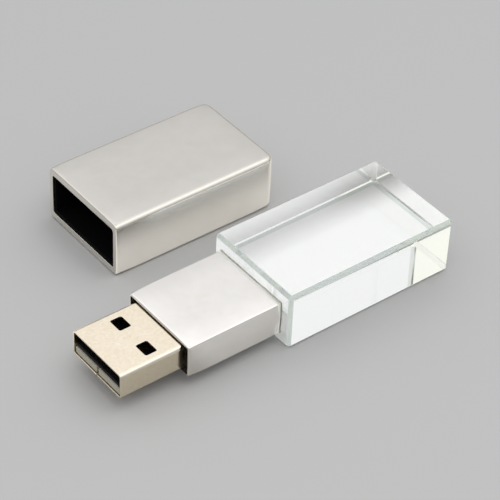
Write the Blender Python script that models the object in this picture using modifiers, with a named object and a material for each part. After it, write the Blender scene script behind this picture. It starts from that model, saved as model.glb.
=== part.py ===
# Crystal flash drive with a standard plug, and its pull-off cap lying beside it.
#
# Metres, +Z up. The origin is the centre of the crystal's underside, +X runs from the plug
# towards the crystal, and the cap lies on the +Y side with its mouth facing the way the plug
# points. The drive and the cap both rest on the plane z = 0.

import bmesh
import bpy
import math
from mathutils import Vector

MM = 0.001

# ---- driving dimensions ------------------------------------------------------------------

# Gaps that the meshes keep where the real pieces touch.
TOUCH_GAP = 0.3 * MM
FINE_GAP = 0.15 * MM

# Plug shell, folded from sheet to the standard outline.
PLUG_WIDTH = 12.0 * MM
PLUG_HEIGHT = 4.5 * MM
PLUG_REACH = 10.85 * MM         # from the collar's front to the tip
PLUG_BURIED = 6.0 * MM          # inside the collar
PLUG_SHEET = 0.3 * MM
PLUG_CORNER = 0.6 * MM          # outer bend radius
SEAM_WIDTH = 0.16 * MM
SHELL_TAB_LENGTH = 1.6 * MM     # solder tabs behind the shell
SHELL_TAB_HEIGHT = 1.6 * MM
WINDOW_SETBACK = 5.4 * MM       # from the tip to a window's front edge
WINDOW_LENGTH = 2.0 * MM
WINDOW_WIDTH = 2.6 * MM
WINDOW_SPREAD = 6.4 * MM        # between the two window centres
WINDOW_CORNER = 0.3 * MM

# Plug tongue, the tray under it, and its contacts.
TONGUE_SETBACK = 0.35 * MM      # from the tip to the tongue's front
TONGUE_GAP = 0.2 * MM           # to the shell all round
TRAY_SETBACK = 0.2 * MM         # from the tip to the tray's front
TRAY_HEIGHT = 1.05 * MM
TRAY_NOTCH_WIDTH = 0.5 * MM     # in the middle of its front
TRAY_NOTCH_DEPTH = 0.8 * MM
TONGUE_BLOCK_LENGTH = 7.3 * MM  # full-height block at the tongue's back
CONTACT_WIDTH = 1.0 * MM
CONTACT_THICKNESS = 0.25 * MM
CONTACT_PROUD = 0.05 * MM       # above the tongue's top
CONTACT_TAIL = 1.6 * MM         # on the circuit board
POWER_SETBACK = 1.6 * MM        # from the tip to the two outer contacts
DATA_SETBACK = 2.6 * MM         # from the tip to the two inner contacts
OUTER_CONTACT_PLACE = 3.5 * MM  # off the middle
INNER_CONTACT_PLACE = 1.0 * MM

# Metal collar round the back of the plug.
COLLAR_WALL = 0.5 * MM
COLLAR_EDGE = 0.35 * MM         # along the collar
COLLAR_RIM_EDGE = 0.4 * MM      # round its front
COLLAR_INNER_EDGE = 0.25 * MM
RAIL_SPACE = 1.05 * MM          # between the plug's side and the collar's wall
LIGHT_WINDOW_THICKNESS = 1.0 * MM

# Carrier halves inside the collar.
CARRIER_SETBACK = 0.8 * MM      # from the collar's front
CARRIER_CEILING = 0.35 * MM
CARRIER_SPLIT = 0.2 * MM        # between the two halves
CARRIER_SIDE = 0.85 * MM        # wall beside the circuit board
CARRIER_LEDGE = 0.8 * MM        # under each side of the circuit board

# Circuit board and what is soldered to it. Sizes are length, width and height.
BOARD_THICKNESS = 0.6 * MM
BOARD_BACK_SPACE = 0.7 * MM     # to the light window
BOARD_SPARE = 0.9 * MM          # between the small chips and the light at its back edge
CONTROLLER_SIZE = (4.0 * MM, 4.0 * MM, 0.75 * MM)
MEMORY_SIZE = (6.0 * MM, 8.0 * MM, 0.6 * MM)
OSCILLATOR_SIZE = (2.5 * MM, 2.0 * MM, 0.7 * MM)
REGULATOR_SIZE = (2.9 * MM, 1.6 * MM, 1.0 * MM)
LED_SIZE = (0.8 * MM, 2.0 * MM, 1.0 * MM)
LED_DOME = 0.35 * MM
CHIP_SIZE = (1.0 * MM, 0.5 * MM, 0.45 * MM)
CHIP_PITCH = 1.0 * MM

# Crystal block.
CRYSTAL_LENGTH = 31.6 * MM
CRYSTAL_CHAMFER = 0.55 * MM

# Cap. Its outside is flush with the crystal's.
CAP_SIDE_WALL = 1.05 * MM
CAP_TOP_WALL = 1.3 * MM
CAP_END_WALL = 1.6 * MM
CAP_EDGE = 0.8 * MM
CAP_RIM_EDGE = 0.25 * MM
CAP_MOUTH_CORNER = 0.5 * MM
CAP_END_SPACE = 1.05 * MM       # past the plug's tip when the cap is on
LINER_WALL = 0.35 * MM
LINER_SETBACK = 0.3 * MM        # from the cap's rim
SLIDE_GAP = 0.15 * MM           # round the collar when the cap is on
GRIP_GAP = 0.12 * MM            # round the plug when the cap is on

# Where the cap lies, and how it turns to face the plug.
CAP_MOUTH_BEHIND_TIP = 16.45 * MM
CAP_BESIDE = 9.3 * MM           # between the crystal's side and the cap's side
CAP_FACING_SPACE = 1.5 * MM     # from the plug's tip to the mouth once the cap faces it

# ---- derived sizes and places ------------------------------------------------------------

BOARD_LENGTH = (CONTACT_TAIL + FINE_GAP + CONTROLLER_SIZE[0] + TOUCH_GAP + CHIP_SIZE[0]
                + BOARD_SPARE + LED_SIZE[0])
COLLAR_LENGTH = (PLUG_BURIED + FINE_GAP + BOARD_LENGTH + BOARD_BACK_SPACE
                 + LIGHT_WINDOW_THICKNESS)
COLLAR_WIDTH = PLUG_WIDTH + 2 * (RAIL_SPACE + COLLAR_WALL)
COLLAR_HEIGHT = PLUG_HEIGHT + 2 * (TOUCH_GAP + COLLAR_WALL)
COLLAR_INNER_WIDTH = COLLAR_WIDTH - 2 * COLLAR_WALL
COLLAR_INNER_HEIGHT = COLLAR_HEIGHT - 2 * COLLAR_WALL

LINER_INNER_WIDTH = COLLAR_WIDTH + 2 * SLIDE_GAP
LINER_INNER_HEIGHT = COLLAR_HEIGHT + 2 * SLIDE_GAP
LINER_WIDTH = LINER_INNER_WIDTH + 2 * LINER_WALL
LINER_HEIGHT = LINER_INNER_HEIGHT + 2 * LINER_WALL
MOUTH_WIDTH = LINER_WIDTH + 2 * FINE_GAP
MOUTH_HEIGHT = LINER_HEIGHT + 2 * FINE_GAP

CAP_WIDTH = MOUTH_WIDTH + 2 * CAP_SIDE_WALL
CAP_HEIGHT = MOUTH_HEIGHT + 2 * CAP_TOP_WALL
CAP_DEPTH = TOUCH_GAP + COLLAR_LENGTH + PLUG_REACH + CAP_END_SPACE
CAP_LENGTH = CAP_DEPTH + CAP_END_WALL

CRYSTAL_WIDTH = CAP_WIDTH
CRYSTAL_HEIGHT = CAP_HEIGHT
MIDDLE_Z = CRYSTAL_HEIGHT / 2

CRYSTAL_FRONT = -CRYSTAL_LENGTH / 2
COLLAR_BACK = CRYSTAL_FRONT - TOUCH_GAP
COLLAR_FRONT = COLLAR_BACK - COLLAR_LENGTH
PLUG_TIP = COLLAR_FRONT - PLUG_REACH
SHELL_BACK = COLLAR_FRONT + PLUG_BURIED

SHELL_FLOOR = MIDDLE_Z - PLUG_HEIGHT / 2 + PLUG_SHEET
SHELL_CEILING = MIDDLE_Z + PLUG_HEIGHT / 2 - PLUG_SHEET
SHELL_INNER_HALF = PLUG_WIDTH / 2 - PLUG_SHEET
TRAY_TOP = SHELL_FLOOR + TONGUE_GAP + TRAY_HEIGHT
TONGUE_TOP = MIDDLE_Z
CONTACT_TOP = TONGUE_TOP + CONTACT_PROUD
CONTACT_BOTTOM = CONTACT_TOP - CONTACT_THICKNESS
OUTER_TONGUE_HALF = SHELL_INNER_HALF - TONGUE_GAP

BOARD_FRONT = SHELL_BACK + FINE_GAP
BOARD_BACK = BOARD_FRONT + BOARD_LENGTH
BOARD_TOP = CONTACT_BOTTOM - FINE_GAP
BOARD_BOTTOM = BOARD_TOP - BOARD_THICKNESS
BOARD_HALF = SHELL_INNER_HALF - TONGUE_GAP
CONTACT_BACK = BOARD_FRONT + CONTACT_TAIL
TAB_BACK = SHELL_BACK + SHELL_TAB_LENGTH

CARRIER_FRONT = COLLAR_FRONT + CARRIER_SETBACK
CARRIER_BACK = COLLAR_BACK - LIGHT_WINDOW_THICKNESS - TOUCH_GAP
CARRIER_HALF = COLLAR_INNER_WIDTH / 2 - TOUCH_GAP
CARRIER_LOW = MIDDLE_Z - COLLAR_INNER_HEIGHT / 2 + TOUCH_GAP
CARRIER_HIGH = MIDDLE_Z + COLLAR_INNER_HEIGHT / 2 - TOUCH_GAP
CARRIER_SLOT_HALF = PLUG_WIDTH / 2 + FINE_GAP
CARRIER_SLOT_BACK = TAB_BACK + FINE_GAP
CARRIER_POCKET_HALF = CARRIER_HALF - CARRIER_SIDE
LEDGE_TOP = BOARD_BOTTOM - FINE_GAP
UNDER_BOARD_FLOOR = LEDGE_TOP - MEMORY_SIZE[2] - FINE_GAP

CAP_MOUTH = PLUG_TIP + CAP_MOUTH_BEHIND_TIP
CAP_MIDDLE_Y = CRYSTAL_WIDTH / 2 + CAP_BESIDE + CAP_WIDTH / 2
GRIP_FRONT = CAP_MOUTH + TOUCH_GAP + COLLAR_LENGTH + TOUCH_GAP
LINER_BACK = GRIP_FRONT - FINE_GAP
GRIP_BACK = CAP_MOUTH + CAP_DEPTH - TOUCH_GAP

# A half turn about this upright axis brings the cap in line with the plug, mouth to tip.
FACING_MOUTH = PLUG_TIP - CAP_FACING_SPACE
TURN_AXIS = Vector(((CAP_MOUTH + FACING_MOUTH) / 2, CAP_MIDDLE_Y / 2, 0.0))

BEND_STEPS = 5
EDGE_STEPS = 4
DOME_STEPS = 16
CHIP_EDGE_SHARE = 0.125         # a board part's chamfer, as a share of its least side
SMOOTH_ANGLE = 35.0             # degrees, past which an edge is shaded sharp
OVERCUT = 2.0 * MM              # how far a cutter runs past the face it cuts


# ---- helpers -----------------------------------------------------------------------------

def clear_scene():
    for obj in list(bpy.data.objects):
        bpy.data.objects.remove(obj, do_unlink=True)
    for mesh in list(bpy.data.meshes):
        bpy.data.meshes.remove(mesh)


def new_collection(name):
    collection = bpy.data.collections.new(name)
    bpy.context.scene.collection.children.link(collection)
    return collection


def finish(name, color, roughness, metallic=0.0, transmission=0.0, ior=1.5):
    material = bpy.data.materials.new(name)
    material.use_nodes = True
    shader = material.node_tree.nodes["Principled BSDF"]
    shader.inputs["Base Color"].default_value = (*color, 1.0)
    shader.inputs["Roughness"].default_value = roughness
    shader.inputs["Metallic"].default_value = metallic
    shader.inputs["Transmission Weight"].default_value = transmission
    shader.inputs["IOR"].default_value = ior
    return material


def add_object(name, mesh, collection, location=(0.0, 0.0, 0.0)):
    obj = bpy.data.objects.new(name, mesh)
    obj.location = location
    collection.objects.link(obj)
    return obj


def block(name, low, high, collection):
    # A box between two corners, with its origin at its middle.
    low = Vector(low)
    high = Vector(high)
    shape = bmesh.new()
    bmesh.ops.create_cube(shape, size=1.0)
    bmesh.ops.scale(shape, vec=high - low, verts=shape.verts)
    mesh = bpy.data.meshes.new(name)
    shape.to_mesh(mesh)
    shape.free()
    return add_object(name, mesh, collection, (low + high) / 2)


def span(low_x, high_x, middle_y, half_y, low_z, high_z):
    # Corners of a box that is even about middle_y.
    return (low_x, middle_y - half_y, low_z), (high_x, middle_y + half_y, high_z)


def round_edges(obj, width, weight_for, segments=EDGE_STEPS):
    # weight_for takes an edge's middle and direction and returns the share of width it gets.
    mesh = obj.data
    weights = mesh.attributes.new("bevel_weight_edge", "FLOAT", "EDGE")
    for edge in mesh.edges:
        start = mesh.vertices[edge.vertices[0]].co
        end = mesh.vertices[edge.vertices[1]].co
        weights.data[edge.index].value = weight_for((start + end) / 2, end - start)
    bevel = obj.modifiers.new("rounded_edges", "BEVEL")
    bevel.width = width
    bevel.segments = segments
    bevel.limit_method = "WEIGHT"


def along(axis):
    # Picks the edges that run along one axis.
    return lambda middle, direction: 1.0 if abs(direction[axis]) > 0.0 else 0.0


def chamfer(obj, width, segments=1):
    bevel = obj.modifiers.new("chamfer", "BEVEL")
    bevel.width = width
    bevel.segments = segments
    bevel.limit_method = "ANGLE"


def cut(obj, cutter):
    boolean = obj.modifiers.new("cut_" + cutter.name, "BOOLEAN")
    boolean.operation = "DIFFERENCE"
    boolean.solver = "EXACT"
    boolean.object = cutter
    cutter.hide_render = True
    cutter.display_type = "WIRE"


def join(obj, addition):
    boolean = obj.modifiers.new("join_" + addition.name, "BOOLEAN")
    boolean.operation = "UNION"
    boolean.solver = "EXACT"
    boolean.object = addition
    addition.hide_render = True
    addition.display_type = "WIRE"


def dress(obj, material):
    obj.data.materials.append(material)
    return obj


def hang_on(obj, parent):
    # Keeps the piece where it is, with its place counted from the parent.
    obj.parent = parent
    obj.location = obj.location - parent.location


# ---- drive: crystal and collar -----------------------------------------------------------

def crystal_block(parts, glass):
    low, high = span(CRYSTAL_FRONT, -CRYSTAL_FRONT, 0.0, CRYSTAL_WIDTH / 2, 0.0, CRYSTAL_HEIGHT)
    crystal = dress(block("crystal_block", low, high, parts), glass)
    chamfer(crystal, CRYSTAL_CHAMFER)


def collar_edge_weight(middle, direction):
    # The long edges and the front rim are rounded, and the back stays square to the crystal.
    if abs(direction.x) > 0.0:
        return COLLAR_EDGE / COLLAR_RIM_EDGE
    return 1.0 if middle.x < 0.0 else 0.0


def collar(parts, cutters, plate):
    low, high = span(COLLAR_FRONT, COLLAR_BACK, 0.0, COLLAR_WIDTH / 2,
                     MIDDLE_Z - COLLAR_HEIGHT / 2, MIDDLE_Z + COLLAR_HEIGHT / 2)
    sleeve = dress(block("collar", low, high, parts), plate)
    round_edges(sleeve, COLLAR_RIM_EDGE, collar_edge_weight)
    low, high = span(COLLAR_FRONT - OVERCUT, COLLAR_BACK + OVERCUT, 0.0, COLLAR_INNER_WIDTH / 2,
                     MIDDLE_Z - COLLAR_INNER_HEIGHT / 2, MIDDLE_Z + COLLAR_INNER_HEIGHT / 2)
    inside = block("collar_inside", low, high, cutters)
    round_edges(inside, COLLAR_INNER_EDGE, along(0))
    cut(sleeve, inside)


def light_window(parts, acrylic):
    low, high = span(COLLAR_BACK - LIGHT_WINDOW_THICKNESS, COLLAR_BACK, 0.0, CARRIER_HALF,
                     CARRIER_LOW, CARRIER_HIGH)
    pane = dress(block("light_window", low, high, parts), acrylic)
    chamfer(pane, COLLAR_INNER_EDGE)


def carriers(parts, cutters, plastic):
    # Two forked halves: rails beside the plug, and a pocket round the circuit board.
    low, high = span(CARRIER_FRONT - OVERCUT, CARRIER_SLOT_BACK, 0.0, CARRIER_SLOT_HALF,
                     CARRIER_LOW - OVERCUT, CARRIER_HIGH + OVERCUT)
    plug_slot = block("carrier_plug_slot", low, high, cutters)
    low, high = span(CARRIER_SLOT_BACK - OVERCUT, CARRIER_BACK + OVERCUT, 0.0, CARRIER_POCKET_HALF,
                     LEDGE_TOP, CARRIER_HIGH - CARRIER_CEILING)
    board_pocket = block("carrier_board_pocket", low, high, cutters)
    low, high = span(CARRIER_SLOT_BACK - OVERCUT, CARRIER_BACK + OVERCUT, 0.0,
                     CARRIER_POCKET_HALF - CARRIER_LEDGE, UNDER_BOARD_FLOOR, MIDDLE_Z)
    under_board = block("carrier_under_board", low, high, cutters)
    halves = (("carrier_lower", CARRIER_LOW, MIDDLE_Z - CARRIER_SPLIT / 2),
              ("carrier_upper", MIDDLE_Z + CARRIER_SPLIT / 2, CARRIER_HIGH))
    for name, bottom, top in halves:
        low, high = span(CARRIER_FRONT, CARRIER_BACK, 0.0, CARRIER_HALF, bottom, top)
        half = dress(block(name, low, high, parts), plastic)
        cut(half, plug_slot)
        cut(half, board_pocket)
        if name == "carrier_lower":
            cut(half, under_board)


# ---- drive: plug -------------------------------------------------------------------------

def shell_outline():
    # The folded sheet's outer line in the YZ plane, from one side of the seam to the other.
    half_width = PLUG_WIDTH / 2
    half_height = PLUG_HEIGHT / 2
    points = [(SEAM_WIDTH / 2, -half_height)]
    corners = ((1, -1, -90), (1, 1, 0), (-1, 1, 90), (-1, -1, 180))
    for side_y, side_z, start in corners:
        middle_y = side_y * (half_width - PLUG_CORNER)
        middle_z = side_z * (half_height - PLUG_CORNER)
        for step in range(BEND_STEPS + 1):
            angle = math.radians(start + 90 * step / BEND_STEPS)
            points.append((middle_y + PLUG_CORNER * math.cos(angle),
                           middle_z + PLUG_CORNER * math.sin(angle)))
    points.append((-SEAM_WIDTH / 2, -half_height))
    return points


def plug_shell(parts, cutters, plate):
    shape = bmesh.new()
    row = [shape.verts.new((PLUG_TIP, y, MIDDLE_Z + z)) for y, z in shell_outline()]
    edges = [shape.edges.new(pair) for pair in zip(row, row[1:])]
    swept = bmesh.ops.extrude_edge_only(shape, edges=edges)
    moved = [item for item in swept["geom"] if isinstance(item, bmesh.types.BMVert)]
    bmesh.ops.translate(shape, verts=moved, vec=(TAB_BACK - PLUG_TIP, 0.0, 0.0))
    bmesh.ops.recalc_face_normals(shape, faces=shape.faces)
    top = max(shape.faces, key=lambda face: face.calc_center_median().z)
    if top.normal.z < 0:
        bmesh.ops.reverse_faces(shape, faces=shape.faces)
    mesh = bpy.data.meshes.new("plug_shell")
    shape.to_mesh(mesh)
    shape.free()
    shell = dress(add_object("plug_shell", mesh, parts), plate)
    sheet = shell.modifiers.new("sheet", "SOLIDIFY")
    sheet.thickness = PLUG_SHEET
    sheet.offset = -1.0
    sheet.use_even_offset = True
    for side in (-1, 1):
        low, high = span(PLUG_TIP + WINDOW_SETBACK, PLUG_TIP + WINDOW_SETBACK + WINDOW_LENGTH,
                         side * WINDOW_SPREAD / 2, WINDOW_WIDTH / 2,
                         MIDDLE_Z - PLUG_HEIGHT, MIDDLE_Z + PLUG_HEIGHT)
        window = block("window_cutter_%d" % side, low, high, cutters)
        round_edges(window, WINDOW_CORNER, along(2))
        cut(shell, window)
        # Everything above and below the solder tabs is cut off behind the shell.
        near = MIDDLE_Z + side * SHELL_TAB_HEIGHT / 2
        far = MIDDLE_Z + side * PLUG_HEIGHT
        low, high = span(SHELL_BACK, TAB_BACK + OVERCUT, 0.0, PLUG_WIDTH, min(near, far),
                         max(near, far))
        cut(shell, block("tab_cutter_%d" % side, low, high, cutters))


def contact_places():
    # Name, place off the middle and setback from the tip, in pin order.
    return (("contact_power", OUTER_CONTACT_PLACE, POWER_SETBACK),
            ("contact_data_minus", INNER_CONTACT_PLACE, DATA_SETBACK),
            ("contact_data_plus", -INNER_CONTACT_PLACE, DATA_SETBACK),
            ("contact_ground", -OUTER_CONTACT_PLACE, POWER_SETBACK))


def upper_long_edges(middle, direction):
    return 1.0 if abs(direction.x) > 0.0 and middle.z > 0.0 else 0.0


def lower_long_edges(middle, direction):
    return 1.0 if abs(direction.x) > 0.0 and middle.z < 0.0 else 0.0


def plug_tray(parts, cutters, plastic):
    low, high = span(PLUG_TIP + TRAY_SETBACK, SHELL_BACK, 0.0, OUTER_TONGUE_HALF,
                     SHELL_FLOOR + TONGUE_GAP, TRAY_TOP)
    tray = dress(block("plug_tray", low, high, parts), plastic)
    round_edges(tray, PLUG_CORNER - PLUG_SHEET, lower_long_edges)
    low, high = span(PLUG_TIP - OVERCUT, PLUG_TIP + TRAY_SETBACK + TRAY_NOTCH_DEPTH, 0.0,
                     TRAY_NOTCH_WIDTH / 2, SHELL_FLOOR, TRAY_TOP + OVERCUT)
    cut(tray, block("tray_notch", low, high, cutters))


def plug_tongue(parts, cutters, plastic):
    low, high = span(PLUG_TIP + TONGUE_SETBACK, SHELL_BACK, 0.0, OUTER_TONGUE_HALF,
                     TRAY_TOP + FINE_GAP, SHELL_CEILING - TONGUE_GAP)
    tongue = dress(block("plug_tongue", low, high, parts), plastic)
    round_edges(tongue, PLUG_CORNER - PLUG_SHEET, upper_long_edges)
    low, high = span(PLUG_TIP - OVERCUT, SHELL_BACK - TONGUE_BLOCK_LENGTH, 0.0, PLUG_WIDTH,
                     TONGUE_TOP, MIDDLE_Z + PLUG_HEIGHT)
    cut(tongue, block("tongue_upper_room", low, high, cutters))
    for name, place, setback in contact_places():
        low, high = span(PLUG_TIP + setback - FINE_GAP, SHELL_BACK + OVERCUT, place,
                         CONTACT_WIDTH / 2 + FINE_GAP, CONTACT_BOTTOM - FINE_GAP,
                         CONTACT_TOP + FINE_GAP)
        cut(tongue, block(name + "_groove", low, high, cutters))


def contacts(parts, gold):
    for name, place, setback in contact_places():
        low, high = span(PLUG_TIP + setback, CONTACT_BACK, place, CONTACT_WIDTH / 2,
                         CONTACT_BOTTOM, CONTACT_TOP)
        strip = dress(block(name, low, high, parts), gold)
        chamfer(strip, CONTACT_PROUD)


# ---- drive: circuit board ----------------------------------------------------------------

def circuit_board(parts, laminate):
    low, high = span(BOARD_FRONT, BOARD_BACK, 0.0, BOARD_HALF, BOARD_BOTTOM, BOARD_TOP)
    dress(block("circuit_board", low, high, parts), laminate)


def on_board(name, size, middle, parts, material, under=False):
    length, width, height = size
    low_z = BOARD_BOTTOM - FINE_GAP - height if under else BOARD_TOP + FINE_GAP
    low, high = span(middle[0] - length / 2, middle[0] + length / 2, middle[1], width / 2,
                     low_z, low_z + height)
    piece = dress(block(name, low, high, parts), material)
    chamfer(piece, min(size) * CHIP_EDGE_SHARE)
    return piece


def board_parts(parts, cutters, looks):
    controller_x = CONTACT_BACK + FINE_GAP + CONTROLLER_SIZE[0] / 2
    controller_edge = CONTROLLER_SIZE[1] / 2
    on_board("controller_chip", CONTROLLER_SIZE, (controller_x, 0.0), parts, looks["chip"])
    on_board("memory_chip", MEMORY_SIZE, ((CARRIER_SLOT_BACK + BOARD_BACK) / 2, 0.0), parts,
             looks["chip"], under=True)
    oscillator_y = controller_edge + TOUCH_GAP + OSCILLATOR_SIZE[1] / 2
    on_board("oscillator", OSCILLATOR_SIZE, (controller_x, oscillator_y), parts, looks["can"])
    regulator_y = -controller_edge - TOUCH_GAP - REGULATOR_SIZE[1] / 2
    on_board("regulator", REGULATOR_SIZE, (controller_x, regulator_y), parts, looks["chip"])
    led_x = BOARD_BACK - LED_SIZE[0] / 2
    led = on_board("indicator_led", LED_SIZE, (led_x, 0.0), parts, looks["led"])
    dome_shape = bmesh.new()
    bmesh.ops.create_uvsphere(dome_shape, u_segments=DOME_STEPS, v_segments=DOME_STEPS // 2,
                              radius=LED_DOME)
    dome_mesh = bpy.data.meshes.new("led_dome")
    dome_shape.to_mesh(dome_mesh)
    dome_shape.free()
    dome_place = (BOARD_BACK, 0.0, BOARD_TOP + FINE_GAP + LED_SIZE[2] / 2)
    join(led, add_object("led_dome", dome_mesh, cutters, dome_place))
    chip_x = controller_x + CONTROLLER_SIZE[0] / 2 + TOUCH_GAP + CHIP_SIZE[0] / 2
    led_edge = LED_SIZE[1] / 2
    rows = (("led_resistor", 1, 0, "resistor"), ("data_resistor_1", 1, 1, "resistor"),
            ("data_resistor_2", 1, 2, "resistor"), ("capacitor_1", -1, 0, "capacitor"),
            ("capacitor_2", -1, 1, "capacitor"), ("capacitor_3", -1, 2, "capacitor"))
    for name, side, place, look in rows:
        chip_y = side * (led_edge + CHIP_SIZE[1] + place * CHIP_PITCH)
        on_board(name, CHIP_SIZE, (chip_x, chip_y), parts, looks[look])


# ---- cap ---------------------------------------------------------------------------------

def cap_edge_weight(middle, direction):
    # Full rounding on the long edges and round the closed end, a light one on the rim.
    if abs(direction.x) > 0.0 or middle.x > 0.0:
        return 1.0
    return CAP_RIM_EDGE / CAP_EDGE


def cap_box(name, low_x, high_x, width, height, corner, collection):
    low, high = span(low_x, high_x, CAP_MIDDLE_Y, width / 2, MIDDLE_Z - height / 2,
                     MIDDLE_Z + height / 2)
    box = block(name, low, high, collection)
    if corner > 0.0:
        round_edges(box, corner, along(0))
    return box


def cap(parts, cutters, plate, plastic, turn):
    shell = cap_box("cap_shell", CAP_MOUTH, CAP_MOUTH + CAP_LENGTH, CAP_WIDTH, CAP_HEIGHT, 0.0,
                    parts)
    round_edges(shell, CAP_EDGE, cap_edge_weight)
    mouth = cap_box("cap_cavity", CAP_MOUTH - OVERCUT, CAP_MOUTH + CAP_DEPTH, MOUTH_WIDTH,
                    MOUTH_HEIGHT, CAP_MOUTH_CORNER, cutters)
    liner = cap_box("cap_liner", CAP_MOUTH + LINER_SETBACK, LINER_BACK, LINER_WIDTH,
                    LINER_HEIGHT, CAP_MOUTH_CORNER - FINE_GAP, parts)
    liner_room = cap_box("liner_room", CAP_MOUTH - OVERCUT, LINER_BACK + OVERCUT,
                         LINER_INNER_WIDTH, LINER_INNER_HEIGHT, COLLAR_EDGE - SLIDE_GAP, cutters)
    grip = cap_box("cap_grip", GRIP_FRONT, GRIP_BACK, LINER_WIDTH, LINER_HEIGHT,
                   CAP_MOUTH_CORNER - FINE_GAP, parts)
    grip_room = cap_box("grip_room", GRIP_FRONT - OVERCUT, GRIP_BACK + OVERCUT,
                        PLUG_WIDTH + 2 * GRIP_GAP, PLUG_HEIGHT + 2 * GRIP_GAP,
                        PLUG_CORNER - GRIP_GAP, cutters)
    cut(shell, mouth)
    cut(liner, liner_room)
    cut(grip, grip_room)
    dress(shell, plate)
    dress(liner, plastic)
    dress(grip, plastic)
    for piece in (shell, liner, grip, mouth, liner_room, grip_room):
        hang_on(piece, turn)


# ---- assembly ----------------------------------------------------------------------------

def main():
    clear_scene()
    parts = new_collection("crystal_flash_drive")
    cutters = new_collection("cutters")

    glass = finish("clear_crystal", (0.97, 0.99, 0.98), 0.02, transmission=1.0, ior=1.52)
    acrylic = finish("clear_acrylic", (0.95, 0.96, 0.96), 0.08, transmission=1.0, ior=1.49)
    satin_nickel = finish("satin_nickel", (0.78, 0.76, 0.73), 0.28, metallic=1.0)
    plug_nickel = finish("bright_nickel", (0.80, 0.75, 0.66), 0.22, metallic=1.0)
    black_plastic = finish("black_plastic", (0.015, 0.015, 0.016), 0.5)
    beige_plastic = finish("beige_plastic", (0.52, 0.49, 0.41), 0.5)
    gold = finish("gold_plate", (0.90, 0.68, 0.30), 0.25, metallic=1.0)
    laminate = finish("green_laminate", (0.03, 0.20, 0.09), 0.45)
    looks = {
        "chip": finish("chip_resin", (0.03, 0.03, 0.033), 0.55),
        "can": finish("oscillator_can", (0.70, 0.69, 0.66), 0.3, metallic=1.0),
        "led": finish("led_lens", (0.85, 0.88, 0.95), 0.2),
        "resistor": finish("resistor_glaze", (0.05, 0.05, 0.055), 0.35),
        "capacitor": finish("capacitor_ceramic", (0.45, 0.33, 0.22), 0.6),
    }

    crystal_block(parts, glass)
    collar(parts, cutters, satin_nickel)
    light_window(parts, acrylic)
    carriers(parts, cutters, black_plastic)
    plug_shell(parts, cutters, plug_nickel)
    plug_tray(parts, cutters, beige_plastic)
    plug_tongue(parts, cutters, black_plastic)
    contacts(parts, gold)
    circuit_board(parts, laminate)
    board_parts(parts, cutters, looks)

    turn = bpy.data.objects.new("cap_turn_axis", None)
    turn.location = TURN_AXIS
    parts.objects.link(turn)
    cap(parts, cutters, satin_nickel, black_plastic, turn)

    for obj in parts.objects:
        if obj.type == "MESH" and any(item.type == "BEVEL" for item in obj.modifiers):
            obj.data.shade_smooth()
            obj.data.set_sharp_from_angle(angle=math.radians(SMOOTH_ANGLE))


main()
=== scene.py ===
# Crystal flash drive with its pull-off metal cap, lying on a pale floor.
import math

import bmesh
import bpy
from mathutils import Matrix, Vector, noise


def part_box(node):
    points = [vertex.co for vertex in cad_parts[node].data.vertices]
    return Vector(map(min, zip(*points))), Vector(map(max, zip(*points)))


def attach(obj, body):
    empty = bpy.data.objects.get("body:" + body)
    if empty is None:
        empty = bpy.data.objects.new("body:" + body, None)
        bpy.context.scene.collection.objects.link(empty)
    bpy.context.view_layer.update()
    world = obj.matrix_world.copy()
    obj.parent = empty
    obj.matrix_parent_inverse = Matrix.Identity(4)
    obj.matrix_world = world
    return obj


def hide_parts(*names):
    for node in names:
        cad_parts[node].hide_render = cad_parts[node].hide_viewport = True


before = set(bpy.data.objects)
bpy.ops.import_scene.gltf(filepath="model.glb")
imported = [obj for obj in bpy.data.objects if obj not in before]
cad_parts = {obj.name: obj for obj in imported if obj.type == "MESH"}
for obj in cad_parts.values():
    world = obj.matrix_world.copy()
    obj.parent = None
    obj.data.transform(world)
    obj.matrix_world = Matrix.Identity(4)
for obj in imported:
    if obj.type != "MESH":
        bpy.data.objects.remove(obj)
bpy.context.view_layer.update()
mm = 0.001
print("frame loaded:", len(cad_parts), "nodes")


# Camera

cameraSettings = {
    "azimuth": -39.33,      # degrees, 0 looks along +Y
    "elevation": 40.07,
    "roll": 2.745,
    "distance": 326.4 * mm,
    "target": Vector((-10.2, 7.5, 5.0)) * mm,
    "lens": 154.7,
}


def makeCamera(settings):
    azimuth = math.radians(settings["azimuth"])
    elevation = math.radians(settings["elevation"])
    roll = math.radians(settings["roll"])
    back = Vector((math.sin(azimuth) * math.cos(elevation),
                   -math.cos(azimuth) * math.cos(elevation),
                   math.sin(elevation)))
    right = (-back).cross(Vector((0, 0, 1))).normalized()
    up = back.cross(right)
    data = bpy.data.cameras.new("camera")
    data.lens = settings["lens"]
    data.sensor_width = 36.0
    data.clip_start = 0.01
    data.clip_end = 20.0
    camera = bpy.data.objects.new("camera", data)
    turn = Matrix((right * math.cos(roll) + up * math.sin(roll),
                   up * math.cos(roll) - right * math.sin(roll),
                   back)).transposed()
    place = settings["target"] + back * settings["distance"]
    camera.matrix_world = Matrix.Translation(place) @ turn.to_4x4()
    bpy.context.scene.collection.objects.link(camera)
    bpy.context.scene.camera = camera


makeCamera(cameraSettings)
print("camera placed")


# Node helpers

def addNode(tree, kind, place=(0, 0), **values):
    node = tree.nodes.new(kind)
    node.location = place
    for name, value in values.items():
        setattr(node, name, value)
    return node


def setInputs(node, **values):
    # Names are given with underscores for spaces.
    for name, value in values.items():
        node.inputs[name.replace("_", " ")].default_value = value


def feed(tree, value, socket):
    # value is another node's socket, a number or a colour.
    if isinstance(value, bpy.types.NodeSocket):
        tree.links.new(value, socket)
    else:
        socket.default_value = (*value, 1.0) if isinstance(value, tuple) else value


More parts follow.
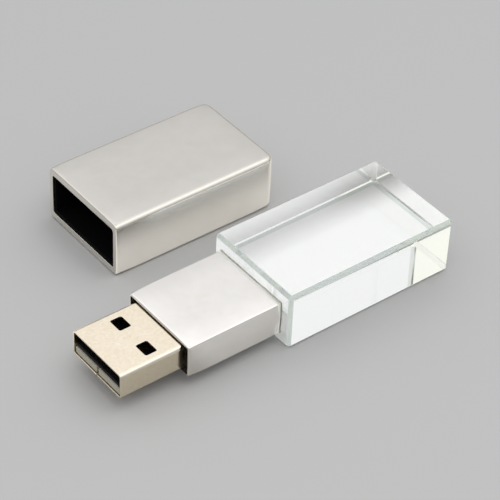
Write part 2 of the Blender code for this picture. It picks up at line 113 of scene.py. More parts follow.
def calculate(tree, operation, *values, place=(-500, -300), clamp=False):
    # One Math node.
    node = addNode(tree, "ShaderNodeMath", place, operation=operation, use_clamp=clamp)
    for value, socket in zip(values, node.inputs):
        feed(tree, value, socket)
    return node.outputs[0]


def inMillimetres(tree, vector, place=(-1000, 200)):
    scale = addNode(tree, "ShaderNodeVectorMath", place, operation="SCALE")
    setInputs(scale, Scale=1000.0)
    tree.links.new(vector, scale.inputs[0])
    return scale.outputs[0]


def startGroup(name, inputs, outputs):
    # inputs are (name, socket type, default), outputs are names of numbers.
    tree = bpy.data.node_groups.new(name, "ShaderNodeTree")
    for label, kind, value in inputs:
        socket = tree.interface.new_socket(label, in_out="INPUT", socket_type=kind)
        if value is not None:
            socket.default_value = value
    for label in outputs:
        tree.interface.new_socket(label, in_out="OUTPUT", socket_type="NodeSocketFloat")
    return tree, tree.nodes.new("NodeGroupInput"), tree.nodes.new("NodeGroupOutput")


def makeGrainGroup():
    # Fine plating or moulding grain, from 0 to 1.
    inputs = [("Vector", "NodeSocketVector", None),
              ("Per Millimetre", "NodeSocketFloat", 6.0),
              ("Stretch", "NodeSocketVector", (1.0, 1.0, 1.0))]
    tree, start, end = startGroup("fineGrain", inputs, ["Height"])
    stretch = addNode(tree, "ShaderNodeVectorMath", operation="MULTIPLY")
    tree.links.new(inMillimetres(tree, start.outputs["Vector"]), stretch.inputs[0])
    tree.links.new(start.outputs["Stretch"], stretch.inputs[1])
    grain = addNode(tree, "ShaderNodeTexNoise")
    setInputs(grain, Detail=4.0, Roughness=0.6)
    tree.links.new(stretch.outputs[0], grain.inputs["Vector"])
    tree.links.new(start.outputs["Per Millimetre"], grain.inputs["Scale"])
    tree.links.new(grain.outputs[0], end.inputs["Height"])
    return tree


def makePatchGroup():
    # Slow cloudy change over the surface, from 0 to 1, as handling leaves on metal.
    inputs = [("Vector", "NodeSocketVector", None),
              ("Size", "NodeSocketFloat", 5.0),
              ("Contrast", "NodeSocketFloat", 0.5)]
    tree, start, end = startGroup("handlingPatches", inputs, ["Patch"])
    cloud = addNode(tree, "ShaderNodeTexNoise")
    setInputs(cloud, Detail=3.0, Roughness=0.55, Distortion=0.6)
    tree.links.new(inMillimetres(tree, start.outputs["Vector"]), cloud.inputs["Vector"])
    tree.links.new(calculate(tree, "DIVIDE", 1.0, start.outputs["Size"]), cloud.inputs["Scale"])
    spread = addNode(tree, "ShaderNodeMapRange")
    setInputs(spread, From_Min=0.3, From_Max=0.7)
    tree.links.new(cloud.outputs[0], spread.inputs["Value"])
    middle = 0.5               # contrast pushes the patches away from here
    fromMiddle = calculate(tree, "SUBTRACT", spread.outputs[0], middle)
    patch = calculate(tree, "MULTIPLY_ADD", fromMiddle, start.outputs["Contrast"], middle, clamp=True)
    tree.links.new(patch, end.inputs["Patch"])
    return tree


def makeEdgeGroup():
    # Reads how rounded the surface is there from the piece's own attribute, broken up a little.
    inputs = [("Vector", "NodeSocketVector", None), ("Break Up", "NodeSocketFloat", 0.4)]
    tree, start, end = startGroup("roundedEdges", inputs, ["Mask"])
    band = addNode(tree, "ShaderNodeAttribute", attribute_name="edgeBand")
    chips = addNode(tree, "ShaderNodeTexNoise")
    setInputs(chips, Scale=1.4, Detail=3.0)
    tree.links.new(inMillimetres(tree, start.outputs["Vector"]), chips.inputs["Vector"])
    chipped = calculate(tree, "MULTIPLY", chips.outputs[0], start.outputs["Break Up"])
    mask = calculate(tree, "SUBTRACT", band.outputs["Fac"], chipped, clamp=True)
    tree.links.new(mask, end.inputs["Mask"])
    return tree


fineGrain = makeGrainGroup()
handlingPatches = makePatchGroup()
roundedEdges = makeEdgeGroup()


def startMaterial(name, metallic=0.0, transmission=0.0, ior=1.5):
    material = bpy.data.materials.new(name)
    material.use_nodes = True
    tree = material.node_tree
    shader = tree.nodes["Principled BSDF"]
    setInputs(shader, Metallic=metallic, Transmission_Weight=transmission, IOR=ior)
    place = addNode(tree, "ShaderNodeTexCoord", (-1200, 0))
    return material, tree, shader, place.outputs["Object"]


def useGroup(tree, group, vector, place=(-900, 0), **values):
    node = addNode(tree, "ShaderNodeGroup", place)
    node.node_tree = group
    setInputs(node, **values)
    tree.links.new(vector, node.inputs["Vector"])
    return node


def mixColors(tree, factor, first, second, place=(-400, 200)):
    mix = addNode(tree, "ShaderNodeMix", place, data_type="RGBA")
    for value, socket in zip((factor, first, second), (mix.inputs["Factor"], mix.inputs[6], mix.inputs[7])):
        feed(tree, value, socket)
    return mix.outputs[2]


def mapTo(tree, source, low, high, place=(-600, -200)):
    # Spreads a 0 to 1 mask between two values.
    spread = addNode(tree, "ShaderNodeMapRange", place)
    setInputs(spread, To_Min=low, To_Max=high)
    tree.links.new(source, spread.inputs["Value"])
    return spread.outputs[0]


def bump(tree, height, shader, depth, strength, place=(-300, -500)):
    node = addNode(tree, "ShaderNodeBump", place)
    setInputs(node, Strength=strength, Distance=depth)
    tree.links.new(height, node.inputs["Height"])
    tree.links.new(node.outputs["Normal"], shader.inputs["Normal"])


# Finishes

def makeSatinNickel(name, settings):
    # Plating with grain, slow patches and spots of tarnish; its rounded edges are painted brighter, partly
    # edge wear and partly a painted highlight.
    material, tree, shader, vector = startMaterial(name, metallic=1.0)
    grain = useGroup(tree, fineGrain, vector, (-900, -300), Per_Millimetre=settings["grain"],
                     Stretch=settings["stretch"])
    patch = useGroup(tree, handlingPatches, vector, (-900, 0), Size=settings["patchSize"], Contrast=0.8)
    edge = useGroup(tree, roundedEdges, vector, (-900, 300), Break_Up=0.3)
    tarnish = useGroup(tree, handlingPatches, vector, (-900, 600), Size=settings["tarnishSize"],
                       Contrast=1.0)
    plate = mixColors(tree, patch.outputs["Patch"], settings["color"], settings["dullColor"])
    share = mapTo(tree, tarnish.outputs["Patch"], 0.0, settings["tarnishShare"], (-600, 600))
    dulled = mixColors(tree, share, plate, settings["tarnishColor"], (-300, 500))
    # Painted highlight: the rounded edges are mixed towards a brighter colour, standing in for the light
    # they catch, with some edge wear.
    worn = mixColors(tree, edge.outputs["Mask"], dulled, settings["edgeHighlightShadeColor"], (-200, 300))
    tree.links.new(worn, shader.inputs["Base Color"])
    roughness = settings["roughness"]
    spread = settings["roughnessSpread"]
    rough = mapTo(tree, patch.outputs["Patch"], roughness - spread, roughness + spread)
    polished = calculate(tree, "MULTIPLY_ADD", edge.outputs["Mask"], -settings["edgePolish"], rough)
    tree.links.new(polished, shader.inputs["Roughness"])
    bump(tree, grain.outputs["Height"], shader, settings["bumpDepth"], strength=0.5)
    return material


capNickelSettings = {
    "color": (0.655, 0.635, 0.605),
    "dullColor": (0.63, 0.61, 0.585),
    # painted highlight on the rounded edges, partly edge wear
    "edgeHighlightShadeColor": (0.88, 0.85, 0.77),
    "tarnishColor": (0.60, 0.575, 0.52),
    "tarnishSize": 2.2,
    "tarnishShare": 0.35,
    "roughness": 0.24,
    "roughnessSpread": 0.03,
    "edgePolish": 0.06,
    "grain": 5.0,
    "stretch": (0.15, 1.0, 1.0),
    "patchSize": 9.0,
    "bumpDepth": 0.0015 * mm,
}

collarNickelSettings = {
    "color": (0.84, 0.82, 0.80),
    "dullColor": (0.81, 0.79, 0.77),
    # painted highlight on the rounded edges, partly edge wear
    "edgeHighlightShadeColor": (0.92, 0.90, 0.87),
    "tarnishColor": (0.76, 0.73, 0.68),
    "tarnishSize": 2.0,
    "tarnishShare": 0.3,
    "roughness": 0.22,
    "roughnessSpread": 0.03,
    "edgePolish": 0.06,
    "grain": 6.0,
    "stretch": (0.15, 1.0, 1.0),
    "patchSize": 6.0,
    "bumpDepth": 0.0012 * mm,
}

plugNickelSettings = {
    "color": (0.91, 0.83, 0.70),
    "dullColor": (0.87, 0.78, 0.64),
    # painted highlight on the rounded edges, partly edge wear
    "edgeHighlightShadeColor": (0.95, 0.90, 0.80),
    "tarnishColor": (0.66, 0.53, 0.34),
    "tarnishSize": 0.55,
    "tarnishShare": 0.30,
    "roughness": 0.20,
    "roughnessSpread": 0.03,
    "edgePolish": 0.05,
    "grain": 7.0,
    "stretch": (0.2, 1.0, 1.0),
    "patchSize": 3.0,
    "bumpDepth": 0.0015 * mm,
}


def makeGlass(name, settings):
    # Clear body with faint wipe marks, and ground edges that take their own colour; on the crystal that
    # colour is a painted shade, darker and greener on the chamfers.
    material, tree, shader, vector = startMaterial(name, transmission=1.0, ior=settings["ior"])
    patch = useGroup(tree, handlingPatches, vector, Size=settings["patchSize"], Contrast=0.7)
    edge = useGroup(tree, roundedEdges, vector, (-900, 300), Break_Up=0.1)
    body = mixColors(tree, patch.outputs["Patch"], settings["color"], settings["dullColor"])
    # Painted shade: edges and chamfers are mixed towards a darker colour where one is given.
    edgeShaded = mixColors(tree, edge.outputs["Mask"], body, settings["edgeHighlightShadeColor"], (-200, 300))
    tree.links.new(edgeShaded, shader.inputs["Base Color"])
    rough = mapTo(tree, patch.outputs["Patch"], *settings["roughness"])
    ground = calculate(tree, "MULTIPLY_ADD", edge.outputs["Mask"], settings["edgeRoughness"], rough,
                       clamp=True)
    tree.links.new(ground, shader.inputs["Roughness"])
    return material


crystalSettings = {
    "ior": 1.52,
    "color": (0.985, 0.995, 0.99),
    "dullColor": (0.975, 0.985, 0.98),
    # painted shade: darker, greener chamfers
    "edgeHighlightShadeColor": (0.59, 0.665, 0.63),
    "edgeRoughness": 0.22,
    "roughness": (0.0, 0.01),
    "patchSize": 7.0,
}

glueSettings = {
    "ior": 1.48,
    "color": (0.86, 0.85, 0.74),
    "dullColor": (0.74, 0.74, 0.63),
    "edgeHighlightShadeColor": (0.78, 0.78, 0.68),
    "edgeRoughness": 0.1,
    "roughness": (0.08, 0.3),
    "patchSize": 1.2,
}

acrylicSettings = {
    "ior": 1.49,
    "color": (0.93, 0.95, 0.95),
    "dullColor": (0.90, 0.92, 0.92),
    "edgeHighlightShadeColor": (0.90, 0.92, 0.92),
    "edgeRoughness": 0.1,
    "roughness": (0.05, 0.12),
    "patchSize": 2.0,
}


def makeMoulded(name, settings):
    # Moulded, cast or plated small pieces: fine grain, slow patches and uneven gloss.
    material, tree, shader, vector = startMaterial(name, metallic=settings.get("metallic", 0.0))
    shader.inputs["Specular IOR Level"].default_value = settings.get("gloss", 0.5)
    fine = useGroup(tree, fineGrain, vector, (-900, -300), Per_Millimetre=settings["grain"])
    patch = useGroup(tree, handlingPatches, vector, (-900, 0), Size=2.5, Contrast=0.9)
    body = mixColors(tree, patch.outputs["Patch"], settings["color"], settings["paleColor"])
    tree.links.new(body, shader.inputs["Base Color"])
    roughness = settings["roughness"]
    spread = 0.08
    rough = mapTo(tree, fine.outputs["Height"], roughness - spread, roughness + spread)
    tree.links.new(rough, shader.inputs["Roughness"])
    bump(tree, fine.outputs["Height"], shader, settings["bumpDepth"], strength=0.6)
    return material


mouldedSettings = {
    "blackPlastic": {"color": (0.004, 0.004, 0.005), "paleColor": (0.008, 0.008, 0.009),
                     "roughness": 0.5, "grain": 14.0, "bumpDepth": 0.01 * mm, "gloss": 0.12},
    "beigePlastic": {"color": (0.42, 0.40, 0.33), "paleColor": (0.50, 0.48, 0.40),
                     "roughness": 0.5, "grain": 10.0, "bumpDepth": 0.02 * mm},
    "linerPlastic": {"color": (0.002, 0.002, 0.002), "paleColor": (0.003, 0.003, 0.003),
                     "roughness": 0.75, "grain": 14.0, "bumpDepth": 0.01 * mm, "gloss": 0.05},
    "goldPlate": {"color": (0.92, 0.66, 0.27), "paleColor": (0.86, 0.60, 0.24),
                  "roughness": 0.26, "grain": 12.0, "bumpDepth": 0.002 * mm, "metallic": 1.0},
    "chipResin": {"color": (0.022, 0.022, 0.024), "paleColor": (0.035, 0.035, 0.037),
                  "roughness": 0.55, "grain": 16.0, "bumpDepth": 0.01 * mm},
    "oscillatorCan": {"color": (0.72, 0.70, 0.66), "paleColor": (0.66, 0.64, 0.61),
                      "roughness": 0.28, "grain": 9.0, "bumpDepth": 0.003 * mm, "metallic": 1.0},
    "ledLens": {"color": (0.86, 0.88, 0.90), "paleColor": (0.80, 0.82, 0.86),
                "roughness": 0.2, "grain": 6.0, "bumpDepth": 0.002 * mm},
    "resistorGlaze": {"color": (0.03, 0.03, 0.032), "paleColor": (0.05, 0.05, 0.052),
                      "roughness": 0.32, "grain": 10.0, "bumpDepth": 0.004 * mm},
    "capacitorCeramic": {"color": (0.42, 0.30, 0.19), "paleColor": (0.50, 0.37, 0.25),
                         "roughness": 0.6, "grain": 12.0, "bumpDepth": 0.006 * mm},
}


def makeLaminate(name, settings):
    # Solder mask with copper lines showing faintly under it.
    material, tree, shader, vector = startMaterial(name)
    lines = addNode(tree, "ShaderNodeTexWave", (-800, 200), wave_type="BANDS", bands_direction="Y")
    setInputs(lines, Scale=settings["linesPerMillimetre"], Distortion=2.0, Detail=0.0)
    tree.links.new(inMillimetres(tree, vector), lines.inputs["Vector"])
    step = addNode(tree, "ShaderNodeMapRange", (-600, 200))
    setInputs(step, From_Min=0.75, From_Max=0.8)
    tree.links.new(lines.outputs["Fac"], step.inputs["Value"])
    patch = useGroup(tree, handlingPatches, vector, (-900, -100), Size=3.0, Contrast=0.6)
    mask = mixColors(tree, patch.outputs["Patch"], settings["color"], settings["paleColor"])
    board = mixColors(tree, step.outputs[0], mask, settings["lineColor"], (-200, 300))
    tree.links.new(board, shader.inputs["Base Color"])
    rough = mapTo(tree, patch.outputs["Patch"], *settings["roughness"])
    tree.links.new(rough, shader.inputs["Roughness"])
    bump(tree, step.outputs[0], shader, settings["bumpDepth"], strength=0.5)
    return material


laminateSettings = {
    "color": (0.018, 0.13, 0.055),
    "paleColor": (0.026, 0.17, 0.075),
    "lineColor": (0.06, 0.27, 0.11),
    "linesPerMillimetre": 0.9,
    "roughness": (0.3, 0.42),
    "bumpDepth": 0.02 * mm,
}

capNickel = makeSatinNickel("capNickel", capNickelSettings)
collarNickel = makeSatinNickel("collarNickel", collarNickelSettings)
plugNickel = makeSatinNickel("plugNickel", plugNickelSettings)
crystalGlass = makeGlass("crystalGlass", crystalSettings)
clearGlue = makeGlass("clearGlue", glueSettings)
finishes = {name: makeMoulded(name, settings) for name, settings in mouldedSettings.items()}
finishes["clearAcrylic"] = makeGlass("clearAcrylic", acrylicSettings)
finishes["greenLaminate"] = makeLaminate("greenLaminate", laminateSettings)

# The CAD nodes that are shown as they are, by finish.
finishNodes = {
    "clearAcrylic": ["light_window"],
    "beigePlastic": ["plug_tray"],
    "blackPlastic": ["plug_tongue", "carrier_lower", "carrier_upper"],
    "goldPlate": ["contact_power", "contact_data_minus", "contact_data_plus", "contact_ground"],
    "greenLaminate": ["circuit_board"],
    "chipResin": ["controller_chip", "memory_chip", "regulator"],
    "oscillatorCan": ["oscillator"],
    "ledLens": ["indicator_led"],
    "resistorGlaze": ["led_resistor", "data_resistor_1", "data_resistor_2"],
    "capacitorCeramic": ["capacitor_1", "capacitor_2", "capacitor_3"],
    "linerPlastic": ["cap_liner", "cap_grip"],
}
for finishName, nodeNames in finishNodes.items():
    for nodeName in nodeNames:
        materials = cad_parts[nodeName].data.materials
        materials.clear()
        materials.append(finishes[finishName])
print("finishes made")


# Mesh helpers

closeEnough = 0.001 * mm       # how near a place counts as on it
shortEdge = 0.1 * mm           # shorter edges are slivers and left out
nearlyStraight = 0.99          # share of an edge that has to run along the axis


def addBox(low, high):
    # A box between two corners, as a new bmesh.
    low = Vector(low)
    high = Vector(high)
    bm = bmesh.new()
    bmesh.ops.create_cube(bm, size=1.0)
    bmesh.ops.scale(bm, vec=high - low, verts=bm.verts)
    bmesh.ops.translate(bm, vec=(low + high) / 2, verts=bm.verts)
    return bm


def edgesAlong(bm, axis):
    found = []
    for edge in bm.edges:
        span = edge.verts[1].co - edge.verts[0].co
        if abs(span[axis]) > shortEdge and abs(span.normalized()[axis]) > nearlyStraight:
            found.append(edge)
    return found


def edgesAt(bm, axis, place):
    # Edges that lie in the plane at one place on an axis.
    return [edge for edge in bm.edges
            if all(abs(vert.co[axis] - place) < closeEnough for vert in edge.verts)]


def roundOff(bm, edges, offset, segments):
    bmesh.ops.bevel(bm, geom=edges, offset=offset, offset_type="OFFSET", segments=segments, profile=0.5,
                    affect="EDGES", material=-1)


def addLoops(bm, axis, places):
    # Cuts edge loops across one axis and leaves the mesh whole.
    normal = Vector([float(part == axis) for part in range(3)])
    for place in places:
        bmesh.ops.bisect_plane(bm, geom=bm.verts[:] + bm.edges[:] + bm.faces[:], dist=closeEnough / 10,
                               plane_co=normal * place, plane_no=normal)


def rollOff(bm, low, high, settings, closedEnd=False):
    # Polishing takes a little off the flat faces towards their edges.
    reach = settings["rollReach"]
    steps = [reach * (step + 1) / settings["rollSteps"] for step in range(settings["rollSteps"])]
    addLoops(bm, 0, [low.x + step for step in steps])
    if closedEnd:
        addLoops(bm, 0, [high.x - step for step in steps])
    for axis in (1, 2):
        addLoops(bm, axis, [end for step in steps for end in (low[axis] + step, high[axis] - step)
                            if step < (high[axis] - low[axis]) / 2])
    middle = (low + high) / 2
    half = (high - low) / 2

    def worn(distance):
        return settings["rollDrop"] * max(0.0, 1.0 - distance / reach) ** 2

    for vert in bm.verts:
        offset = vert.co - middle
        ends = worn(vert.co.x - low.x) + (worn(high.x - vert.co.x) if closedEnd else 0.0)
        fromSide = half.y - abs(offset.y)
        fromTop = half.z - abs(offset.z)
        vert.co.y = middle.y + offset.y * (1.0 - (worn(fromTop) + ends) / half.y)
        vert.co.z = middle.z + offset.z * (1.0 - (worn(fromSide) + ends) / half.z)


def finishMesh(name, bm, material):
    mesh = bpy.data.meshes.new(name)
    bm.to_mesh(mesh)
    bm.free()
    piece = bpy.data.objects.new(name, mesh)
    bpy.context.scene.collection.objects.link(piece)
    if material:
        mesh.materials.append(material)
    return piece


def settle(piece):
    # Turns the piece's modifiers into mesh.
    graph = bpy.context.evaluated_depsgraph_get()
    mesh = bpy.data.meshes.new_from_object(piece.evaluated_get(graph), preserve_all_data_layers=True,
                                           depsgraph=graph)
    old = piece.data
    piece.modifiers.clear()
    piece.data = mesh
    bpy.data.meshes.remove(old)


def carve(piece, bm):
    cutter = finishMesh("cutter", bm, None)
    step = piece.modifiers.new("carve", "BOOLEAN")
    step.solver = "EXACT"
    step.object = cutter
    settle(piece)
    bpy.data.objects.remove(cutter)


def softenEdges(piece, width, flatness, angle=50):
    # A hairline rounding on what is still sharp, with flat faces kept flat in the shading.
    step = piece.modifiers.new("hairline", "BEVEL")
    step.width = width
    step.segments = 2
    step.limit_method = "ANGLE"
    step.angle_limit = math.radians(angle)
    settle(piece)
    markEdges(piece.data)
    piece.data.shade_smooth()
    step = piece.modifiers.new("flatFaces", "WEIGHTED_NORMAL")
    step.weight = flatness
    settle(piece)


def markEdges(mesh, steepness=12):
    # edgeBand is 0 on flat faces and 1 on rounded or chamfered ones.
    bm = bmesh.new()
    bm.from_mesh(mesh)
    tilt = {face: 1 - max(abs(part) for part in face.normal) for face in bm.faces}
    flattest = [min((tilt[face] for face in vert.link_faces), default=0.0) for vert in bm.verts]
    bm.free()
    band = mesh.attributes.new("edgeBand", "FLOAT", "POINT")
    for entry, value in zip(band.data, flattest):
        entry.value = min(1.0, value * steepness)


# Crystal block

crystalShape = {
    "chamfer": 0.55 * mm,
    "glint": 0.03 * mm,        # the narrow break on each chamfer's own edges
}


def makeCrystal(settings):
    low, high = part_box("crystal_block")
    bm = addBox(low, high)
    roundOff(bm, bm.edges[:], settings["chamfer"], 1)
    roundOff(bm, bm.edges[:], settings["glint"], 1)
    piece = finishMesh("crystalBody", bm, crystalGlass)
    markEdges(piece.data)
    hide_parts("crystal_block")
    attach(piece, "drive")


makeCrystal(crystalShape)
print("crystal made")


# Collar and its glue line

collarShape = {
    "edge": 0.3 * mm,
    "edgeSegments": 6,
    "wall": 0.5 * mm,
    "innerEdge": 0.25 * mm,
    "innerSegments": 4,
    "hairline": 0.05 * mm,
    "flatness": 50,
    "rollReach": 4.2 * mm,     # how far in from its edges a face falls off
    "rollSteps": 7,
    "rollDrop": 0.14 * mm,     # and by how much
}

glueShape = {
    "inset": 0.12 * mm,
    "clear": 0.02 * mm,        # left open to the collar and to the crystal
    "wander": 0.10 * mm,       # how uneven its outer edge is
    "wanderEvery": 1.7 * mm,
    "cuts": 40,
}


def makeCollar(settings):
    low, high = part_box("collar")
    bm = addBox(low, high)
    roundOff(bm, bm.edges[:], settings["edge"], settings["edgeSegments"])
    rollOff(bm, low, high, settings)
    piece = finishMesh("collarSleeve", bm, collarNickel)
    wall = Vector((0, settings["wall"], settings["wall"]))
    past = Vector((mm, 0, 0))
    inside = addBox(low + wall - past, high - wall + past)
    roundOff(inside, edgesAlong(inside, 0), settings["innerEdge"], settings["innerSegments"])
    carve(piece, inside)
    softenEdges(piece, settings["hairline"], settings["flatness"])
    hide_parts("collar")
    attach(piece, "drive")


def makeGlueLine(settings):
    # A thin film that fills the joint, with an uneven outer edge.
    collarLow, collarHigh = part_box("collar")
    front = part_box("crystal_block")[0].x
    inset = Vector((0, settings["inset"], settings["inset"]))
    low = Vector((collarHigh.x + settings["clear"], collarLow.y, collarLow.z)) + inset
    high = Vector((front - settings["clear"], collarHigh.y, collarHigh.z)) - inset
    bm = addBox(low, high)
    through = set(edgesAlong(bm, 0))
    around = [edge for edge in bm.edges if edge not in through]
    bmesh.ops.subdivide_edges(bm, edges=around, cuts=settings["cuts"], use_grid_fill=True)
    middle = (low + high) / 2
    half = (high - low) / 2 * 0.999        # points further out than this are on the outer edge
    for vert in bm.verts:
        offset = vert.co - middle
        if abs(offset.y) > half.y or abs(offset.z) > half.z:
            wander = noise.noise(vert.co / settings["wanderEvery"]) * settings["wander"]
            vert.co += Vector((0, offset.y, offset.z)).normalized() * (wander - settings["wander"] / 2)
    piece = finishMesh("glueLine", bm, clearGlue)
    markEdges(piece.data)
    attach(piece, "drive")


makeCollar(collarShape)
makeGlueLine(glueShape)
print("collar made")


# Plug shell

plugShape = {
    "corner": 0.6 * mm,
    "cornerSegments": 6,
    "sheet": 0.3 * mm,
    "hairline": 0.08 * mm,
    "flatness": 100,
    "seam": 0.16 * mm,
    "seamDepth": 0.45 * mm,
    "reach": 10.85 * mm,       # how far the plug stands out of the collar
    "buried": 6.0 * mm,        # and how far it goes in, without its tabs
    "tabHeight": 1.6 * mm,
    "tabClearance": 5.0 * mm,  # the cuts beside the tabs reach this far from the middle
    "windowSetback": 5.4 * mm,
    "windowLength": 2.0 * mm,
    "windowWidth": 2.6 * mm,
    "windowSpread": 6.4 * mm,
    "windowCorner": 0.3 * mm,
    "windowSegments": 4,
}


def makePlugShell(settings):
    low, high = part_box("plug_shell")
    sheet = Vector((0, settings["sheet"], settings["sheet"]))
    past = Vector((mm, 0, 0))
    bm = addBox(low, high)
    roundOff(bm, edgesAlong(bm, 0), settings["corner"], settings["cornerSegments"])
    piece = finishMesh("plugShell", bm, plugNickel)
    inside = addBox(low + sheet - past, high - sheet + past)
    innerCorner = settings["corner"] - settings["sheet"]
    roundOff(inside, edgesAlong(inside, 0), innerCorner, settings["cornerSegments"])
    carve(piece, inside)
    middleZ = (low.z + high.z) / 2
    bodyEnd = low.x + settings["reach"] + settings["buried"]
    windowStart = low.x + settings["windowSetback"]
    windowEnd = windowStart + settings["windowLength"]
    halfWidth = settings["windowWidth"] / 2
    for side in (-1, 1):
        middleY = side * settings["windowSpread"] / 2
        window = addBox((windowStart, middleY - halfWidth, low.z - mm),
                        (windowEnd, middleY + halfWidth, high.z + mm))
        roundOff(window, edgesAlong(window, 2), settings["windowCorner"], settings["windowSegments"])
        carve(piece, window)
        # Above and below the tabs at its back the shell is cut away.
        levels = sorted((middleZ + side * settings["tabHeight"] / 2,
                         middleZ + side * settings["tabClearance"]))
        carve(piece, addBox((bodyEnd, low.y - mm, levels[0]), (high.x + mm, high.y + mm, levels[1])))
    carve(piece, addBox((low.x - mm, -settings["seam"] / 2, low.z - mm),
                        (high.x + mm, settings["seam"] / 2, low.z + settings["seamDepth"])))
    softenEdges(piece, settings["hairline"], settings["flatness"])
    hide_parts("plug_shell")
    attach(piece, "drive")


makePlugShell(plugShape)
print("plug made")


# Cap

capShape = {
    "edge": 0.8 * mm,
    "endCorner": 1.5 * mm,
    "outerSegments": 8,
    "rimEdge": 0.25 * mm,
    "rimSegments": 4,
    "sideWall": 1.05 * mm,
    "topWall": 1.3 * mm,
    "endWall": 1.6 * mm,
    "mouthCorner": 0.5 * mm,
    "mouthSegments": 5,
    "hairline": 0.06 * mm,
    "flatness": 50,
    "rollReach": 4.4 * mm,
    "rollSteps": 6,
    "rollDrop": 0.10 * mm,
}


def makeCap(settings):
    low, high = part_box("cap_shell")
    bm = addBox(low, high)
    uprights = [edge for edge in edgesAlong(bm, 2) if edge in edgesAt(bm, 0, high.x)]
    roundOff(bm, uprights, settings["endCorner"], settings["outerSegments"])
    level = [edge for place in (low.z, high.z) for edge in edgesAt(bm, 2, place)
             if any(vert.co.x > low.x + mm for vert in edge.verts)]
    roundOff(bm, level, settings["edge"], settings["outerSegments"])
    roundOff(bm, edgesAt(bm, 0, low.x), settings["rimEdge"], settings["rimSegments"])
    rollOff(bm, low, high, settings, closedEnd=True)
    piece = finishMesh("capShell", bm, capNickel)
    cavityLow = low + Vector((-mm, settings["sideWall"], settings["topWall"]))
    cavityHigh = high - Vector((settings["endWall"], settings["sideWall"], settings["topWall"]))
    cavity = addBox(cavityLow, cavityHigh)
    roundOff(cavity, edgesAlong(cavity, 0), settings["mouthCorner"], settings["mouthSegments"])
    carve(piece, cavity)
    softenEdges(piece, settings["hairline"], settings["flatness"])
    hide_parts("cap_shell")
    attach(piece, "cap")


makeCap(capShape)
print("cap made")


# Floor, light and surroundings

floorSettings = {
    "size": 6.0,
    "drop": 0.03 * mm,
    "seen": (0.46, 0.46, 0.46),
    # What the metal's sides mirror, by place: painted shade on the floor, darker or lighter near each part,
    # for every ray but camera and transmission rays.
    "beforeCollar": (0.56, 0.555, 0.54),
    "beforePlug": (0.40, 0.395, 0.375),
    "beforeCap": (0.94, 0.93, 0.90),
    "besideCap": (0.62, 0.61, 0.59),
    # What shows through the crystal: painted light, the floor glowing only for rays that came through the
    # glass, with painted shade along the crystal's far side and far corner.
    "underGlass": (0.25, 0.25, 0.25),
    "paintedGlow": 0.77,
    "paintedFarSideShade": 0.45,          # share lost along the crystal's far side
    "paintedFarCornerShade": 0.26,    # and more in its far corner
    # Where one value changes into the next: two distances, measured from the side or end named.
    "collarToCap": (-2 * mm, -3 * mm),     # the collar's side, then the cap's
    "capFade": (-0.5 * mm, 1.5 * mm),      # the cap's side
    "collarToPlug": (8 * mm, 2 * mm),      # the collar's front
    "sideFade": (-6.5 * mm, 0.0),          # the crystal's far side
    "endFade": (-14 * mm, -2 * mm),        # the crystal's far end
}

skySettings = {
    "seen": (0.53, 0.53, 0.53),
    "throughGlass": (0.92, 0.925, 0.925),
    "throughEnd": (1.0, 1.0, 0.91),        # towards -X, which the crystal's end turns into view
    "endTurn": (0.2, -0.2),
    # How bright it is by the upward part of the direction.
    "stops": ((0.0, 0.22), (0.12, 0.32), (0.35, 0.72), (0.62, 0.92), (0.78, 1.3), (0.88, 1.3),
              (1.0, 0.9)),
}

softboxSettings = {
    "place": (0.02, -0.10, 0.42),
    "aim": (-0.01, 0.01, 0.0),
    "width": 0.30,
    "depth": 0.24,
    "energy": 0.35,
}

bounces = 64                   # light that is caught in the crystal needs many


def rampOver(tree, source, low, high, place=(-900, -300)):
    # 0 to 1 as a position in metres or a direction goes from low to high.
    spread = addNode(tree, "ShaderNodeMapRange", place, interpolation_type="SMOOTHSTEP")
    setInputs(spread, From_Min=low, From_Max=high)
    tree.links.new(source, spread.inputs["Value"])
    return spread.outputs[0]


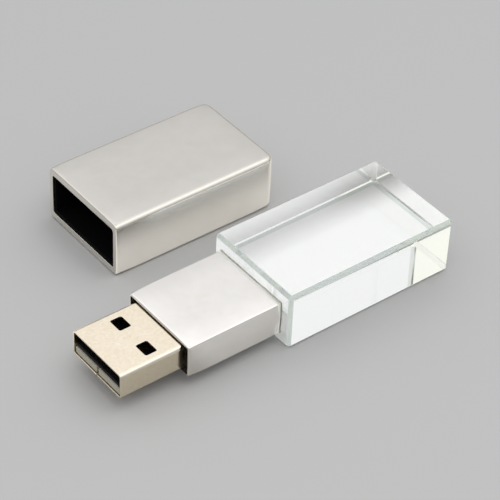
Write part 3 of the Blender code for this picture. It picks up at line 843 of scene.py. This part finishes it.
def makeFloor(settings):
    bm = bmesh.new()
    bmesh.ops.create_grid(bm, x_segments=24, y_segments=24, size=settings["size"] / 2)
    bmesh.ops.translate(bm, vec=(0, 0, -settings["drop"]), verts=bm.verts)
    material, tree, shader, vector = startMaterial("paleFloor")
    setInputs(shader, Roughness=0.9, Emission_Color=(1.0, 1.0, 1.0, 1.0))
    shader.inputs["Specular IOR Level"].default_value = 0.1
    split = addNode(tree, "ShaderNodeSeparateXYZ", (-1000, -100))
    tree.links.new(vector, split.inputs[0])
    along = split.outputs["X"]
    across = split.outputs["Y"]
    collarLow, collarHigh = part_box("collar")
    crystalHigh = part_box("crystal_block")[1]
    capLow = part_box("cap_shell")[0]
    fromCollar, fromCap = settings["collarToCap"]
    towardsCap = rampOver(tree, across, collarHigh.y + fromCollar, capLow.y + fromCap)
    pastCap = rampOver(tree, across, *(capLow.y + step for step in settings["capFade"]))
    towardsPlug = rampOver(tree, along, *(collarLow.x + step for step in settings["collarToPlug"]))
    farSide = rampOver(tree, across, *(crystalHigh.y + step for step in settings["sideFade"]))
    farEnd = rampOver(tree, along, *(crystalHigh.x + step for step in settings["endFade"]))

    # Painted shade for reflections: the floor's colour changes by place, which darkens or lightens the
    # metal sides that mirror it.
    byDrive = mixColors(tree, towardsPlug, settings["beforeCollar"], settings["beforePlug"])
    byCap = mixColors(tree, pastCap, settings["beforeCap"], settings["besideCap"])
    paintedMirrorShade = mixColors(tree, towardsCap, byDrive, byCap)
    path = addNode(tree, "ShaderNodeLightPath", (-1000, 300))
    lit = mixColors(tree, path.outputs["Is Camera Ray"], paintedMirrorShade, settings["seen"], (-700, 300))
    under = mixColors(tree, path.outputs["Is Transmission Ray"], lit, settings["underGlass"])
    tree.links.new(under, shader.inputs["Base Color"])

    # Painted light: the floor glows only for rays that came through the crystal, and painted shade takes
    # some of it off along the crystal's far side and far corner.
    corner = calculate(tree, "MULTIPLY", calculate(tree, "MULTIPLY", farSide, farEnd),
                       settings["paintedFarCornerShade"])
    side = calculate(tree, "MULTIPLY", farSide, settings["paintedFarSideShade"])
    kept = calculate(tree, "SUBTRACT", calculate(tree, "SUBTRACT", 1.0, side), corner)
    paintedGlow = calculate(tree, "MULTIPLY", calculate(tree, "MULTIPLY", kept, settings["paintedGlow"]),
                     path.outputs["Is Transmission Ray"])
    tree.links.new(paintedGlow, shader.inputs["Emission Strength"])
    floor = finishMesh("floor", bm, material)


def makeSky(settings):
    world = bpy.data.worlds.new("studio")
    bpy.context.scene.world = world
    world.use_nodes = True
    tree = world.node_tree
    background = tree.nodes["Background"]
    direction = addNode(tree, "ShaderNodeTexCoord", (-1200, 0))
    split = addNode(tree, "ShaderNodeSeparateXYZ", (-1000, 0))
    tree.links.new(direction.outputs["Generated"], split.inputs[0])
    ramp = addNode(tree, "ShaderNodeValToRGB", (-800, 0))
    stops = settings["stops"]
    ramp.color_ramp.elements[0].position = stops[0][0]
    ramp.color_ramp.elements[1].position = stops[-1][0]
    for position, value in stops[1:-1]:
        ramp.color_ramp.elements.new(position)
    for element, (position, value) in zip(ramp.color_ramp.elements, stops):
        element.color = (value, value, value, 1.0)
    tree.links.new(split.outputs["Z"], ramp.inputs["Fac"])
    path = addNode(tree, "ShaderNodeLightPath", (-800, 300))
    towardsPlug = rampOver(tree, split.outputs["X"], *settings["endTurn"])
    behindGlass = mixColors(tree, towardsPlug, settings["throughGlass"], settings["throughEnd"])
    through = mixColors(tree, path.outputs["Is Transmission Ray"], ramp.outputs["Color"], behindGlass)
    shown = mixColors(tree, path.outputs["Is Camera Ray"], through, settings["seen"])
    tree.links.new(shown, background.inputs["Color"])
    background.inputs["Strength"].default_value = 1.0


def makeSoftbox(settings):
    data = bpy.data.lights.new("overheadBox", "AREA")
    data.shape = "RECTANGLE"
    data.size = settings["width"]
    data.size_y = settings["depth"]
    data.energy = settings["energy"]
    lamp = bpy.data.objects.new("overheadBox", data)
    lamp.location = settings["place"]
    towards = Vector(settings["aim"]) - Vector(settings["place"])
    lamp.rotation_euler = towards.to_track_quat("-Z", "Y").to_euler()
    bpy.context.scene.collection.objects.link(lamp)
    lamp.visible_camera = False
    lamp.visible_glossy = False


makeFloor(floorSettings)
makeSky(skySettings)
makeSoftbox(softboxSettings)
scene = bpy.context.scene
scene.view_settings.view_transform = "Standard"
scene.cycles.use_denoising = True
scene.cycles.max_bounces = bounces
scene.cycles.glossy_bounces = bounces
scene.cycles.transmission_bounces = bounces
print("studio made")
